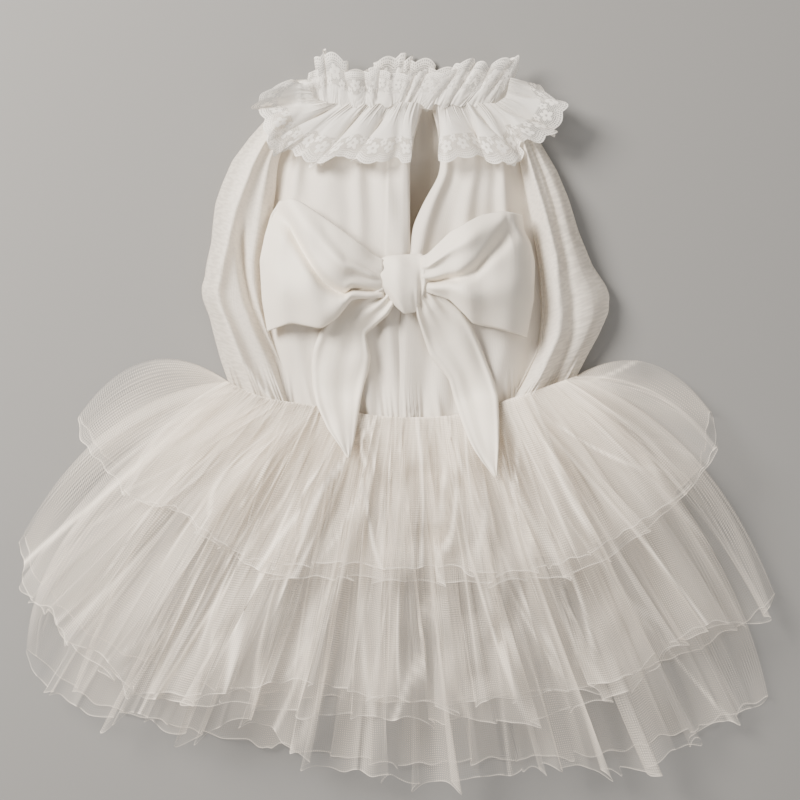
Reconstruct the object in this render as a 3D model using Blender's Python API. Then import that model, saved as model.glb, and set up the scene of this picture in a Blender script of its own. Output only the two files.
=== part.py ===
"""A small dog's dress that lies flat on its back panel: a white bodice with a laced neck frill,
two puffed sleeves and a bow, over a skirt of three tulle tiers. Metres, +Z up, neck towards +Y."""

import math

import bmesh
import bpy
from mathutils import Vector

mm = 0.001

# Cloth walls and the room between two cloths
cloth_wall = 1.2 * mm
tulle_wall = 1.1 * mm
lace_wall = 1.1 * mm
cloth_gap = 0.4 * mm
tier_gap = 1.2 * mm
seam_gap = 0.3 * mm

# Bodice: a tube of cloth, flat below and lifted above, split at the front
bodice_length = 150 * mm
chest_half_width = 70 * mm
chest_loft = 25 * mm
neck_loft = 13 * mm
waist_loft = 14 * mm
waist_dip = 9 * mm
waist_rise = 20 * mm
slit_depth = 74 * mm
slit_width = 15 * mm
slit_foot = 7 * mm
slit_head = 15.5 * mm
placket_width = 12 * mm
placket_height = 1.6 * mm
back_step_start = 12 * mm
back_step_length = 9 * mm
chest_edge_share = 0.42
seam_rows = 10

# Sleeves: puffs that lie along the bodice, open at the shoulder and at the cuff
sleeve_bulge = 32 * mm
sleeve_loft = 17 * mm
cuff_loft = 9 * mm
sleeve_side_room = 1.0 * mm

# Neck: a ring of elastic under a standing frill and a falling frill
neck_half_width = 48 * mm
neck_offset = 4 * mm
band_height = 5 * mm
band_loft = 9 * mm
upper_frill_height = 22 * mm
upper_frill_flare = 3 * mm
upper_frill_wave = 2.2 * mm
lower_frill_depth = 31 * mm
lower_frill_turn = math.radians(100)
rear_frill_flare = 10 * mm
lower_frill_wave = 2.4 * mm

# Bow
bow_height = 58 * mm
bow_offset = 2 * mm
loop_length = 55 * mm
loop_width = 62 * mm
loop_loft = 13 * mm
loop_bulge = 3 * mm
loop_mouth = 0.8 * mm
knot_width = 25 * mm
knot_length = 28 * mm
knot_loft = 13 * mm
left_tail_length = 70 * mm
right_tail_length = 80 * mm
tail_width = 27 * mm
tail_spread = 47 * mm
tail_fold = 3 * mm
tail_clearance = 2.8 * mm
tail_overrun = 10 * mm

# Skirt: three gathered tubes of tulle, the longest one inside
waist_half_width = 87 * mm
skirt_length = 184 * mm
skirt_half_width = 195 * mm
skirt_loft = 34 * mm
hem_loft = 12 * mm
waist_room_share = 0.55
crest_share = 0.42
gather_height = 8 * mm
gather_count = 13
back_ripple = 1.0 * mm
tier_inset = 0.0105
tier_steps = (4, 3, 2)

# The tiers by their order from the inside, with their hems as shares of the skirt's length
tiers = [
    # name, order from inside, hem share, depth of the hem's points as a share
    {"name": "long", "order": 0, "hem": 1.0, "points": 0.05},
    {"name": "mid", "order": 1, "hem": 0.80, "points": 0.06},
    {"name": "short", "order": 2, "hem": 0.46, "points": 0.07},
]

# The side seam between bodice and sleeve: up as a share of bodice_length, across as shares of chest_half_width
bodice_sides = [
    # up, left, right
    (-0.06, 0.72, 0.74),
    (0.05, 0.80, 0.90),
    (0.22, 0.94, 1.00),
    (0.45, 0.97, 1.00),
    (0.62, 0.91, 0.90),
    (0.80, 0.88, 0.87),
    (0.93, 0.76, 0.82),
    (1.00, 0.64, 0.72),
]

# How far each sleeve stands out from the side seam: along as a share of its length, out as a share of sleeve_bulge
sleeve_swell = [
    # along, left, right
    (0.00, 0.88, 0.92),
    (0.12, 0.86, 0.92),
    (0.34, 1.00, 1.14),
    (0.48, 0.84, 0.76),
    (0.62, 0.86, 0.86),
    (0.78, 0.72, 0.66),
    (0.90, 0.46, 0.50),
    (1.00, 0.32, 0.26),
]

# The skirt's outer side line from the waist to the longest hem, as it lies
skirt_sides = [
    # along, out as a share of the way from waist to half width, down as a share of skirt_length
    (0.00, 0.00, -0.06),
    (0.13, 0.28, -0.060),
    (0.26, 0.54, -0.085),
    (0.36, 0.69, 0.00),
    (0.46, 0.68, 0.13),
    (0.60, 0.83, 0.27),
    (0.70, 0.97, 0.34),
    (0.82, 1.00, 0.52),
    (1.00, 0.96, 0.70),
]

# The upper frill's outline and the lower frill's hem, across the neck from left to right
frill_heights = [
    # across, standing height as a share of upper_frill_height
    (0.00, 0.62),
    (0.08, 1.00),
    (0.16, 0.74),
    (0.26, 0.66),
    (0.36, 0.90),
    (0.50, 0.84),
    (0.64, 0.80),
    (0.76, 0.72),
    (0.84, 0.84),
    (0.94, 1.02),
    (1.00, 0.64),
]
frill_drops = [
    # across from the outer tip to the slit, drop as a share of lower_frill_depth
    (0.00, 0.98),
    (0.10, 0.90),
    (0.22, 1.04),
    (0.36, 0.90),
    (0.50, 1.02),
    (0.64, 0.92),
    (0.80, 1.04),
    (1.00, 0.92),
]

# The bow's tails from the knot to their points: middle as a share of tail_spread, width as a share of tail_width
left_tail = [
    # along, middle, width
    (0.00, 0.24, 0.44),
    (0.30, 0.54, 0.92),
    (0.60, 0.62, 1.00),
    (0.85, 0.55, 0.60),
    (1.00, 0.52, 0.10),
]
right_tail = [
    # along, middle, width
    (0.00, 0.24, 0.44),
    (0.30, 0.62, 0.95),
    (0.60, 0.82, 0.82),
    (0.85, 0.93, 0.48),
    (1.00, 0.98, 0.10),
]

# Folds of the bodice front: where across each panel, how deep as a share of the chest's loft, and how wide
panel_folds = [
    # across, depth, width
    (0.16, 0.10, 0.07),
    (0.42, 0.06, 0.06),
    (0.70, 0.05, 0.05),
]

# The long dark crease of a sleeve beside its lit ridge
sleeve_folds = [
    # across from the outer edge, depth, width
    (0.36, 0.14, 0.10),
    (0.72, 0.34, 0.12),
]


def mix(low, high, share):
    return low + (high - low) * share


def smooth(share):
    share = min(1.0, max(0.0, share))
    return share * share * (3 - 2 * share)


def read(table, at, column=1):
    """The table's value at a place, eased from row to row."""
    if at <= table[0][0]:
        return table[0][column]
    for low, high in zip(table, table[1:]):
        if at <= high[0]:
            return mix(low[column], high[column], (at - low[0]) / (high[0] - low[0]))
    return table[-1][column]


def crease(folds, across):
    """How far the folds pull the cloth down here, as a share of its loft."""
    return sum(depth * math.exp(-(((across - place) / width) ** 2)) for place, depth, width in folds)


def waist_line(x):
    """The curved seam between bodice and skirt."""
    return -waist_dip + waist_rise * (x / waist_half_width) ** 2


def seat_on_waist(x_at):
    """The height where a cloth whose edge runs along x_at(y) meets the waist seam."""
    y = 0.0
    for _ in range(6):
        y = waist_line(x_at(y)) + seam_gap
    return y


def bodice_side(y, side):
    """Where the bodice ends on a side, -1 left or +1 right, at a height y."""
    column = 1 if side < 0 else 2
    return side * chest_half_width * read(bodice_sides, y / bodice_length, column)


def chest_height(x, y):
    """The lifted surface of the front, from one sleeve's seam to the other's."""
    up = y / bodice_length
    middle = mix(waist_loft, chest_loft, smooth(up / 0.45)) if up < 0.5 else mix(
        chest_loft, neck_loft, smooth((up - 0.5) / 0.5)
    )
    half = abs(bodice_side(y, -1 if x < 0 else 1))
    across = min(1.0, abs(x) / half)
    return middle * mix(chest_edge_share, 1, math.sqrt(1 - across**3))


def cover_height(x, y):
    """A surface that clears bodice, sleeves and skirt, on which the frill and the bow lie."""
    if y > waist_line(x):
        beside = abs(x) - abs(bodice_side(y, -1 if x < 0 else 1))
        if beside > 0:
            out = min(1.0, beside / sleeve_bulge)
            seam = chest_height(x, y)
            return mix(max(seam, sleeve_loft), 0.35 * sleeve_loft, out**2)
        return chest_height(x, y)
    return chest_height(x, waist_line(x))


def add_patch(mesh, *corners):
    """Two triangles that always meet along the same diagonal, so that nested cloths stay apart."""
    first, second, third, fourth = corners
    mesh.faces.new((first, second, third))
    mesh.faces.new((first, third, fourth))


def close_shell(mesh_rows, name, colour, roughness):
    """Bridges nested rings of points, each row an outer and an inner ring, into one closed cloth."""
    mesh = bmesh.new()
    outer = [[mesh.verts.new(point) for point in row[0]] for row in mesh_rows]
    inner = [[mesh.verts.new(point) for point in row[1]] for row in mesh_rows]
    count = len(outer[0])
    for low, high in zip(range(len(outer) - 1), range(1, len(outer))):
        for here in range(count):
            after = (here + 1) % count
            for ring in (outer, inner):
                add_patch(mesh, ring[low][here], ring[low][after], ring[high][after], ring[high][here])
    for row in (0, len(outer) - 1):
        for here in range(count):
            after = (here + 1) % count
            add_patch(mesh, outer[row][here], outer[row][after], inner[row][after], inner[row][here])
    return finish(mesh, name, colour, roughness)


def finish(mesh, name, colour, roughness):
    bmesh.ops.recalc_face_normals(mesh, faces=mesh.faces)
    data = bpy.data.meshes.new(name)
    mesh.to_mesh(data)
    mesh.free()
    data.shade_smooth()
    data.materials.append(material(name, colour, roughness))
    piece = bpy.data.objects.new(name, data)
    piece.parent = dress
    bpy.context.scene.collection.objects.link(piece)
    return piece


def material(name, colour, roughness):
    made = bpy.data.materials.new(name)
    made.use_nodes = True
    shader = made.node_tree.nodes["Principled BSDF"]
    shader.inputs["Base Color"].default_value = (*colour, 1)
    shader.inputs["Roughness"].default_value = roughness
    shader.inputs["Metallic"].default_value = 0
    return made


def add_tube(name, rows, columns, plan, above, below, wall, side_wall, look, inset=0.0):
    """A flattened tube: plan(across, along) gives x and y, above and below the two cloths' inner heights.
    It is closed at both sides, whose wall is a share of the width, and open at both ends."""

    def on_columns(share, along, height):
        """A point of one cloth, straight between the columns beside it, so that the wall's faces stay apart."""
        low = min(columns - 1, math.floor(share * columns))
        ends = [column / columns for column in (low, low + 1)]
        first, second = (Vector((*plan(end, along), height(end, along))) for end in ends)
        return first.lerp(second, share * columns - low)

    shell = []
    for row in range(rows + 1):
        along = row / rows
        rings = []
        for depth in (0, 1):
            shift = Vector((0, 0, wall * (1 - depth)))
            edge = inset + side_wall * depth
            places = [min(1 - edge, max(edge, column / columns)) for column in range(columns + 1)]
            upper = [on_columns(place, along, above) + shift for place in places]
            lower = [on_columns(place, along, below) - shift for place in places[::-1]]
            rings.append(upper + lower)
        shell.append(rings)
    return close_shell(shell, name, *look)


def add_sheet(name, rows, columns, plan, height, wall, look):
    """One cloth: plan(across, along) gives x and y, height its underside."""
    shell = []
    for row in range(rows + 1):
        along = row / rows
        places = [column / columns for column in range(columns + 1)]
        under = [Vector((*plan(place, along), height(place, along))) for place in places]
        shell.append((under, [point + Vector((0, 0, wall)) for point in under]))
    mesh = bmesh.new()
    low = [[mesh.verts.new(point) for point in row[0]] for row in shell]
    top = [[mesh.verts.new(point) for point in row[1]] for row in shell]
    for row in range(rows):
        for here in range(columns):
            for grid in (low, top):
                add_patch(mesh, grid[row][here], grid[row][here + 1], grid[row + 1][here + 1], grid[row + 1][here])
        for here in (0, columns):
            add_patch(mesh, low[row][here], low[row + 1][here], top[row + 1][here], top[row][here])
    for row in (0, rows):
        for here in range(columns):
            add_patch(mesh, low[row][here], low[row][here + 1], top[row][here + 1], top[row][here])
    return finish(mesh, name, *look)


chiffon = ((0.80, 0.72, 0.64), 0.75)
satin = ((0.84, 0.77, 0.68), 0.6)
lace = ((0.80, 0.78, 0.74), 0.8)
tulle = ((0.62, 0.52, 0.43), 0.85)


# Skirt
def gathers(across):
    """Sharp radial gathers, fading towards the side folds: 0 in a valley and 1 on a ridge."""
    fade = smooth((1 - abs(2 * across - 1)) / 0.16)
    wave = 0.5 - 0.5 * math.cos(2 * math.pi * gather_count * across)
    uneven = 0.72 + 0.28 * math.sin(5.3 * across * math.pi + 0.8)
    return fade * uneven * wave


def skirt_place(across, along):
    """The place of a share across and along the whole skirt, between its two side lines."""
    turn = 2 * across - 1
    out = mix(waist_half_width, skirt_half_width, read(skirt_sides, along, 1))
    side = -skirt_length * read(skirt_sides, along, 2)
    middle = -waist_dip - skirt_length * along
    bend = mix(2.0, 2.7, smooth(along / 0.4))
    return turn * out, mix(middle, side, abs(turn) ** bend) - seam_gap * (1 - along)


def skirt_room(across, along):
    """How high the inside of the longest tier's front stands."""
    turn = abs(2 * across - 1)
    start = waist_loft * waist_room_share
    lift = mix(start, skirt_loft, smooth(along / crest_share))
    if along > crest_share:
        lift = mix(skirt_loft, hem_loft, smooth((along - crest_share) / (1 - crest_share)))
    dome = math.sqrt(max(0.0, 1 - turn**3.2))
    return lift * dome


def tier_stack(along, order):
    """The room that the cloths below a tier's back take, where they still lie under it."""
    under = 0.0
    for tier in tiers:
        if tier["order"] > order:
            ends = tier["hem"] * (1 + tier["points"])
            under += (tulle_wall + cloth_gap) * (1 - smooth((along - ends) / 0.1))
    return under


def skirt_stations():
    """Rows down the skirt that all its tiers share, so that nested cloths bend at the same places."""
    stations = [0.0]
    for hem, steps in zip(sorted(tier["hem"] for tier in tiers), tier_steps):
        start = stations[-1]
        stations += [mix(start, hem, (step + 1) / steps) for step in range(steps)]
    return stations


def add_tier(tier):
    order = tier["order"]
    inset = tier_inset * (len(tiers) - 1 - order)
    stations = [station for station in skirt_stations() if station <= tier["hem"]]
    rows = len(stations) - 1

    def reach(across, along):
        if along == 1:
            return tier["hem"] * (1 + tier["points"] * math.sin(11 * across * math.pi + 2.1 * order))
        return stations[round(along * rows)]

    def plan(across, along):
        return skirt_place(across, reach(across, along))

    def back(across, along):
        ripple = back_ripple * gathers(across) * smooth(reach(across, along) / 0.3)
        return tier_stack(reach(across, along), order) + ripple + tulle_wall

    def front(across, along):
        down = reach(across, along)
        room = tier_stack(down, -1) + tulle_wall + 2 * cloth_gap + skirt_room(across, down)
        pleat = gather_height * gathers(across) * smooth((down + 0.05) / 0.35)
        return room + pleat + order * (tulle_wall + mix(cloth_gap, tier_gap, smooth(down / 0.3)))

    side = tulle_wall / (2 * waist_half_width)
    name = "skirt_tier_" + tier["name"]
    add_tube(name, rows, 2 * gather_count, plan, front, back, tulle_wall, side, tulle, inset)


# Bodice
def back_lift(y):
    """The back panel climbs over the rear frill that lies below it at the neck."""
    start = bodice_length - lower_frill_depth
    return (lace_wall + cloth_gap) * smooth((y - start + back_step_start) / back_step_length)


def add_back():
    def plan(across, along):
        def x_at(y):
            return mix(bodice_side(y, -1), bodice_side(y, 1), across)

        y = mix(seat_on_waist(x_at), bodice_length - band_height, along)
        return x_at(y), y

    def height(across, along):
        return back_lift(plan(across, along)[1])

    add_sheet("bodice_back", seam_rows, 6, plan, height, cloth_wall, chiffon)


def slit_edge(y, side):
    """The front opening: closed at the bow's knot, widest below the frill and narrower at the neck."""
    low = bodice_length - band_height - slit_depth
    up = (y - low) / slit_depth
    open_share = 0.0 if up < 0 else math.sin(math.pi * min(1.0, up) * 0.80) ** 0.8
    middle = mix(slit_foot, slit_head, max(0.0, up))
    return middle + side * (seam_gap / 2 + slit_width * open_share * 0.5)


def add_front(name, side):
    def plan(across, along):
        def x_at(y):
            return mix(bodice_side(y, side), slit_edge(y, side), across)

        y = mix(seat_on_waist(x_at), bodice_length - band_height, along)
        return x_at(y), y

    def height(across, along):
        x, y = plan(across, along)
        top = chest_height(x, y)
        pull = crease(panel_folds, across) * smooth(along / 0.2)
        inner = (slit_edge(y, side) - x) * side
        raised = placket_height if side < 0 and -placket_width < inner <= 0 else 0
        edge = back_lift(y) + cloth_wall + seam_gap
        lifted = max(edge, top * (1 - pull) - cloth_wall - placket_height - cloth_gap + raised)
        return mix(edge, lifted, smooth(across / 0.08))

    add_sheet(name, seam_rows, 10, plan, height, cloth_wall, chiffon)


def add_sleeve(name, side):
    column = 1 if side < 0 else 2

    def plan(across, along):
        swell = side * sleeve_bulge * read(sleeve_swell, along, column)

        def x_at(y):
            seam = bodice_side(y, side) + side * seam_gap
            return mix(seam + swell, seam, across)

        y = mix(seat_on_waist(x_at), bodice_length - band_height, along)
        return x_at(y), y

    def room(along):
        return mix(cuff_loft, sleeve_loft, smooth(along / 0.3)) * (1 - 0.55 * smooth((along - 0.6) / 0.4))

    def above(across, along):
        round_top = math.sqrt(max(0.0, 1 - abs(2 * across - 1) ** 2.4))
        pull = crease(sleeve_folds, across) * smooth(along / 0.1)
        inside = room(along) - 2 * cloth_wall - sleeve_side_room - cloth_gap
        return cloth_wall + sleeve_side_room + inside * round_top * (1 - pull)

    def below(across, along):
        return cloth_wall

    add_tube(name, seam_rows, 6, plan, above, below, cloth_wall, 0.05, chiffon)


# Neck
def frill_wave(across, count, shift):
    return 0.5 - 0.5 * math.cos(2 * math.pi * count * across + shift)


def add_neck_band():
    def plan(across, along):
        x = neck_offset + mix(-neck_half_width, neck_half_width, across)
        return x, bodice_length - band_height * (1 - along) + seam_gap

    def above(across, along):
        return back_lift(bodice_length) + cloth_wall + band_loft * math.sqrt(max(0.01, 1 - abs(2 * across - 1) ** 3))

    def below(across, along):
        return back_lift(bodice_length) + cloth_wall

    side = cloth_wall / (2 * neck_half_width)
    add_tube("neck_elastic", 1, 12, plan, above, below, cloth_wall, side, lace)


def add_upper_frill():
    def plan(across, along):
        flare = upper_frill_flare * along
        x = neck_offset + mix(-neck_half_width - flare, neck_half_width + flare, across)
        tip = 0.10 * math.sin(21 * across * math.pi)
        rise = upper_frill_height * (read(frill_heights, across) + tip) * along
        return x, bodice_length + 2 * seam_gap + rise

    def above(across, along):
        dome = math.sqrt(max(0.01, 1 - abs(2 * across - 1) ** 3))
        wave = upper_frill_wave * frill_wave(across, 14, 0.4) * smooth(along + 0.15)
        return back_lift(bodice_length) + cloth_wall + band_loft * dome * mix(1, 1.25, along) + wave

    def below(across, along):
        drop = back_lift(bodice_length) * (1 - smooth(along * 1.5))
        wave = 0.5 * upper_frill_wave * frill_wave(across, 14, 2.0) * smooth(along)
        return lace_wall + drop + wave

    side = lace_wall / (2 * neck_half_width)
    add_tube("upper_frill", 3, 24, plan, above, below, lace_wall, side, lace)


def add_lower_frill(name, side):
    def plan(across, along):
        start = bodice_length - band_height
        drop = lower_frill_depth * read(frill_drops, across) * (1 + 0.05 * math.sin(17 * across * math.pi))
        turn = lower_frill_turn * (1 - smooth(across / 0.42))
        y = start - drop * along * math.cos(turn)
        inner_x = slit_edge(y, side) + side * seam_gap
        outer_x = neck_offset + side * neck_half_width
        return mix(outer_x, inner_x, across) + side * drop * along * math.sin(turn), y

    def height(across, along):
        x, y = plan(across, along)
        wave = lower_frill_wave * frill_wave(across, 5.5, 0.2) * smooth(along + 0.1)
        return cover_height(x, min(y, bodice_length - band_height)) + cloth_gap + wave

    add_sheet(name, 3, 14, plan, height, lace_wall, lace)


def add_rear_frill():
    def plan(across, along):
        drop = lower_frill_depth * (0.86 + 0.08 * math.sin(15 * across * math.pi)) * along
        y = bodice_length - band_height * 0.5 - drop
        half = neck_half_width + rear_frill_flare * along
        left = max(neck_offset - half, bodice_side(y, -1))
        right = min(neck_offset + half, bodice_side(y, 1))
        return mix(left, right, across), y

    add_sheet("lower_frill_back", 2, 16, plan, lambda across, along: 0.0, lace_wall, lace)


# Bow
def bow_floor(x, y):
    return cover_height(x, y) + cloth_gap


def add_loop(name, side):
    """One loop: a band folded back on itself, open along its upper and lower edges, pinched at the knot."""
    outline = [
        # along from the knot, lower edge and upper edge as shares of loop_width
        (0.00, -0.14, 0.20),
        (0.30, -0.20, 0.42),
        (0.65, -0.38, 0.62),
        (1.00, -0.40, 0.60),
    ]

    def plan(across, along):
        x = bow_offset + side * (knot_width / 2 + seam_gap + loop_length * across)
        if across == 1:
            x += side * loop_bulge * math.sin(math.pi * along)
        low = read(outline, across, 1)
        high = read(outline, across, 2)
        return x, bow_height + loop_width * mix(low, high, along)

    def below(across, along):
        return bow_floor(*plan(across, along)) + cloth_wall

    def above(across, along):
        swell = math.sin(math.pi * (0.12 + 0.80 * across)) * (0.62 + 0.38 * math.sin(math.pi * along))
        groove = 0.30 * math.exp(-(((along - 0.62) / 0.10) ** 2)) * (1 - across)
        return below(across, along) + loop_mouth + loop_loft * swell * (1 - groove)

    add_tube(name, 6, 8, plan, above, below, cloth_wall, 0.02, satin)


def add_knot():
    def plan(across, along):
        swell = 1 + 0.10 * math.sin(math.pi * along)
        x = mix(-1, 1, across) * (knot_width / 2 - seam_gap) * (0.90 + 0.08 * math.cos(math.pi * (along - 0.5)))
        return x * swell / 1.1 + bow_offset, bow_height + mix(-0.5, 0.5, along) * knot_length

    def base(across, along):
        return bow_floor(*plan(across, along))

    def thick(across, along):
        body = math.sin(math.pi * (0.10 + 0.80 * across)) ** 0.5 * math.sin(math.pi * (0.12 + 0.76 * along)) ** 0.5
        fold = 0.10 * math.cos(2 * math.pi * 1.5 * across)
        return knot_loft * body * (1 - fold)

    mesh = bmesh.new()
    steps = 6
    low, top = [], []
    for row in range(steps + 1):
        places = [(column / steps, row / steps) for column in range(steps + 1)]
        low.append([mesh.verts.new((*plan(*place), base(*place))) for place in places])
        top.append([mesh.verts.new((*plan(*place), base(*place) + thick(*place))) for place in places])
    for row in range(steps):
        for here in range(steps):
            for grid in (low, top):
                add_patch(mesh, grid[row][here], grid[row][here + 1], grid[row + 1][here + 1], grid[row + 1][here])
        for here in (0, steps):
            add_patch(mesh, low[row][here], low[row + 1][here], top[row + 1][here], top[row][here])
            add_patch(mesh, low[here][row], low[here][row + 1], top[here][row + 1], top[here][row])
    finish(mesh, "bow_knot", *satin)


def add_tail(name, side, outline, length):
    """One tail: it leaves the knot's lower edge, widens and ends in a slanted point."""

    def plan(across, along):
        middle = read(outline, along, 1) * tail_spread
        width = read(outline, along, 2) * tail_width
        x = bow_offset + side * (middle + (0.5 - across) * width)
        return x, bow_height - knot_length / 2 - seam_gap - length * along

    def height(across, along):
        crest = tail_fold * (math.sin(math.pi * across) * smooth(along * 3) + 0.4 * math.sin(2 * math.pi * across))
        x, y = plan(across, along)
        lay = bow_floor(x, max(y, waist_line(x)))
        onto = skirt_top(x, y) if y < waist_line(x) + tail_overrun else 0
        return max(lay, onto + cloth_gap) + crest + 0.4 * tail_fold

    add_sheet(name, 12, 4, plan, height, cloth_wall, satin)


def skirt_top(x, y):
    """The greatest height of the short tier's front near the middle of the waist."""
    along = (-waist_dip - y) / skirt_length
    across = 0.5 + x / (2 * mix(waist_half_width, skirt_half_width, read(skirt_sides, max(0, along), 1)))
    down = max(0.0, along)
    stack = tier_stack(down, -1) + 2 * tulle_wall + 2 * cloth_gap
    order = 2 * (tulle_wall + mix(cloth_gap, tier_gap, smooth(down / 0.3)))
    return stack + skirt_room(across, down) + gather_height * smooth((down + 0.05) / 0.35) + order + tail_clearance


for old in list(bpy.data.objects):
    bpy.data.objects.remove(old)
dress = bpy.data.objects.new("dress", None)
bpy.context.scene.collection.objects.link(dress)

add_back()
add_front("bodice_front_left", -1)
add_front("bodice_front_right", 1)
add_sleeve("sleeve_left", -1)
add_sleeve("sleeve_right", 1)
add_neck_band()
add_upper_frill()
add_lower_frill("lower_frill_left", -1)
add_lower_frill("lower_frill_right", 1)
add_rear_frill()
for tier in tiers:
    add_tier(tier)
add_loop("bow_loop_left", -1)
add_loop("bow_loop_right", 1)
add_knot()
add_tail("bow_tail_left", -1, left_tail, left_tail_length)
add_tail("bow_tail_right", 1, right_tail, right_tail_length)

# The origin is the middle of the whole outline, on the floor
corners = [piece.matrix_world @ vertex.co for piece in dress.children for vertex in piece.data.vertices]
for axis in (0, 1):
    values = [corner[axis] for corner in corners]
    dress.location[axis] = -(min(values) + max(values)) / 2
dress.location.z = -min(corner.z for corner in corners)
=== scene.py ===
import math
import bmesh
import bpy
import numpy as np
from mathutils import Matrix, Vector
from mathutils.bvhtree import BVHTree


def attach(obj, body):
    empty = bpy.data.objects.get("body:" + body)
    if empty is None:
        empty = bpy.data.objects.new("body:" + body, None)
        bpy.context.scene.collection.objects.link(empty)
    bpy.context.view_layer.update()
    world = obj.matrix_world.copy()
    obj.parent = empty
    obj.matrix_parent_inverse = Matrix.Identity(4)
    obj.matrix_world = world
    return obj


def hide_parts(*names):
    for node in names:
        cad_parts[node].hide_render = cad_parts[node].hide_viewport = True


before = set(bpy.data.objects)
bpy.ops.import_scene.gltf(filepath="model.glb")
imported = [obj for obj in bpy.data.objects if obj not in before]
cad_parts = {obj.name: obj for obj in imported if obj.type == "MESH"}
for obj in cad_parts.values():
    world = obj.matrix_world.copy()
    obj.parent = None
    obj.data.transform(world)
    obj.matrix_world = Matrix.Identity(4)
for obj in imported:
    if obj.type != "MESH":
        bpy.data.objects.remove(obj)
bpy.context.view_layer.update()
print("frame loaded with", len(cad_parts), "nodes")

mm = 0.001
photo = {"scale": 0.0005, "middleX": 397.1, "middleY": 428.2}  # metres in a pixel, and the pixel over the origin
relief = {"low": -0.22, "step": 0.002, "count": 221}  # the square height map that each new cloth is laid on


def fromPhoto(points):
    # pixel pairs to metres
    points = np.array(points, float)
    x = (points[..., 0] - photo["middleX"]) * photo["scale"]
    y = (photo["middleY"] - points[..., 1]) * photo["scale"]
    return np.stack([x, y], -1)


def mix(low, high, share):
    return low + (high - low) * share


def ease(low, high, value):
    share = np.clip((value - low) / (high - low), 0, 1)
    return share * share * (3 - 2 * share)


def bump(value, middle, width):
    return np.exp(-(((value - middle) / width) ** 2))


def softLine(line, width):
    # blurs rows of points along their length and holds both ends
    count = len(line)
    reach = max(1, int(3 * width * count))
    weight = np.exp(-0.5 * (np.arange(-reach, reach + 1) / max(width * count, 1e-6)) ** 2)
    weight /= weight.sum()
    before = 2 * line[:1] - line[reach:0:-1]
    after = 2 * line[-1:] - line[-2 : -reach - 2 : -1]
    padded = np.concatenate([before, line, after])
    return np.stack([np.convolve(padded[:, k], weight, "valid") for k in range(line.shape[1])], -1)


def lengthsOf(points):
    steps = np.r_[0, np.cumsum(np.linalg.norm(np.diff(points, axis=0), axis=1))]
    return steps / steps[-1]


def walk(points, shares, rounding=0.01):
    # places along a line of points by share of its length
    shares = np.asarray(shares)
    dense = np.linspace(0, 1, 401)
    stations = lengthsOf(points)
    line = np.stack([np.interp(dense, stations, points[:, k]) for k in range(points.shape[1])], -1)
    line = softLine(line, rounding)
    return np.stack([np.interp(shares, dense, line[:, k]) for k in range(points.shape[1])], -1)


def noise(across, along, seed, waves=6, across0=4.0, along0=1.5):
    # a few soft waves added up, about -1 to 1
    own = np.random.default_rng(seed)
    total = 0
    for _ in range(waves):
        a, b = own.uniform(0.5, 1.6) * across0, own.uniform(0.2, 1.3) * along0
        total = total + np.sin(2 * math.pi * (a * across + b * along + own.uniform()))
    return total / waves ** 0.5


# height maps
mapLine = relief["low"] + relief["step"] * np.arange(relief["count"])


def mapOf(names, fromAbove=True):
    # the upper or lower surface of some nodes, with -1 where there is none
    trees = []
    for name in names:
        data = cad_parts[name].data
        trees.append(BVHTree.FromPolygons([v.co for v in data.vertices], [tuple(p.vertices) for p in data.polygons]))
    field = np.full((relief["count"], relief["count"]), -1.0)
    start, way = (0.2, -1) if fromAbove else (-0.1, 1)
    for row, y in enumerate(mapLine):
        for column, x in enumerate(mapLine):
            heights = [hit[0].z for hit in (tree.ray_cast(Vector((x, y, start)), Vector((0, 0, way))) for tree in trees) if hit[0]]
            if heights:
                field[row, column] = max(heights) if fromAbove else min(heights)
    return field


def fillMap(field, rounds):
    # grows the filled part outwards, so that a blur or a place just outside finds a height
    field = field.copy()
    for _ in range(rounds):
        padded = np.pad(field, 1, constant_values=-1)
        parts = [padded[1 + i : 1 + i + len(field), 1 + j : 1 + j + len(field)] for i, j in ((-1, 0), (1, 0), (0, -1), (0, 1))]
        stack = np.stack(parts)
        known = stack >= 0
        mean = np.where(known, stack, 0).sum(0) / np.maximum(known.sum(0), 1)
        field = np.where((field < 0) & known.any(0), mean, field)
    return field


def softMap(field, rounds):
    for _ in range(rounds):
        padded = np.pad(field, 1, mode="edge")
        field = sum(padded[i : i + len(field), j : j + len(field)] for i in range(3) for j in range(3)) / 9
    return field


def readMap(field, x, y):
    column = np.clip((np.asarray(x) - relief["low"]) / relief["step"], 0, relief["count"] - 1.001)
    row = np.clip((np.asarray(y) - relief["low"]) / relief["step"], 0, relief["count"] - 1.001)
    c, r = column.astype(int), row.astype(int)
    s, t = column - c, row - r
    low = field[r, c] * (1 - s) + field[r, c + 1] * s
    high = field[r + 1, c] * (1 - s) + field[r + 1, c + 1] * s
    return low * (1 - t) + high * t


def pressOn(field, x, y, z):
    # adds a cloth's own surface to a height map
    column = ((x - relief["low"]) / relief["step"]).ravel()
    row = ((y - relief["low"]) / relief["step"]).ravel()
    for i in (0, 1):
        for j in (0, 1):
            r = np.clip(row.astype(int) + i, 0, relief["count"] - 1)
            c = np.clip(column.astype(int) + j, 0, relief["count"] - 1)
            np.maximum.at(field, (r, c), z.ravel())


# cloth pieces
def shares(columns, rows):
    return np.meshgrid(np.linspace(0, 1, columns + 1), np.linspace(0, 1, rows + 1))


def arcs(points, axis):
    steps = np.linalg.norm(np.diff(points, axis=axis), axis=2)
    return np.concatenate([np.zeros_like(np.take(steps, [0], axis)), np.cumsum(steps, axis=axis)], axis=axis)


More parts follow.
